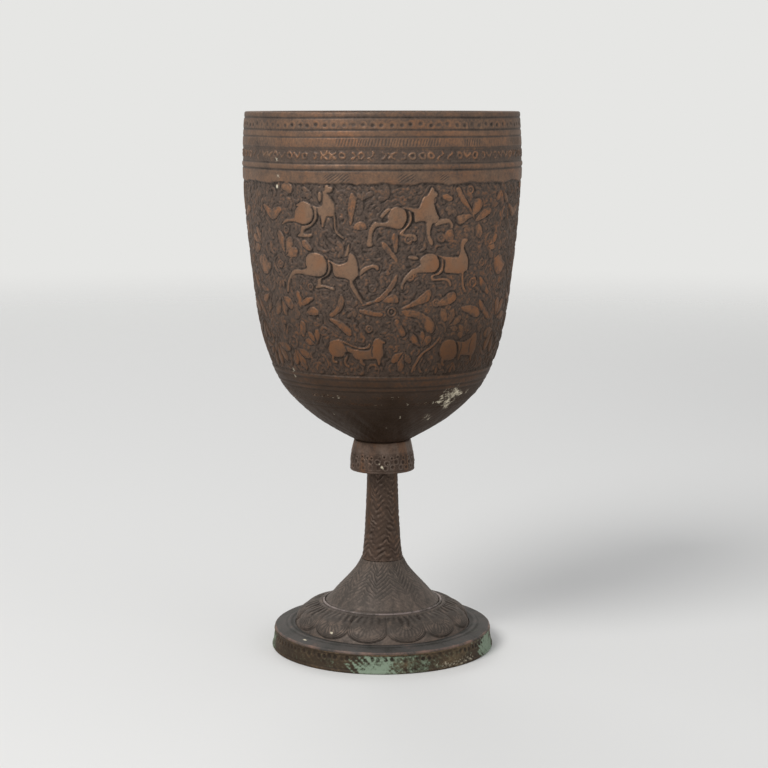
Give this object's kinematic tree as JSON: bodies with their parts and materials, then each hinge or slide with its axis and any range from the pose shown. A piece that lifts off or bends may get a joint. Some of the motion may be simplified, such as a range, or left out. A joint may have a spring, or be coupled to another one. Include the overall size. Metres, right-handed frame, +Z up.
{
  "type": "goblet",
  "caption": "Footed bronze drinking cup: raised bowl chased with animals and leaves, bell knop, tapered stem, trumpet foot with lotus petals and an upright band",
  "frame": {"origin": "centre of the circle that the foot stands on", "axes": "+Z up along the cup's axis, from the foot to the rim; -Y faces the viewer of the picture"},
  "size_m": [0.0916, 0.0916, 0.1793],
  "materials": {
    "bowl_bronze": "chased and patinated",
    "stem_bronze": "engraved and patinated",
    "foot_bronze": "cast and patinated",
    "band_bronze": "punched, with verdigris",
    "fitting_bronze": "hammered"
  },
  "bodies": {
    "root": {"bowl": "bowl_bronze", "bowl_washer": "fitting_bronze", "tie_rod": "fitting_bronze", "knop": "stem_bronze", "stem": "stem_bronze", "foot_cone": "foot_bronze", "neck_washer": "fitting_bronze", "bead_wire": "foot_bronze", "petal_ring": "foot_bronze", "foot_flange": "foot_bronze", "foot_band": "band_bronze"}
  },
  "joints": []
}
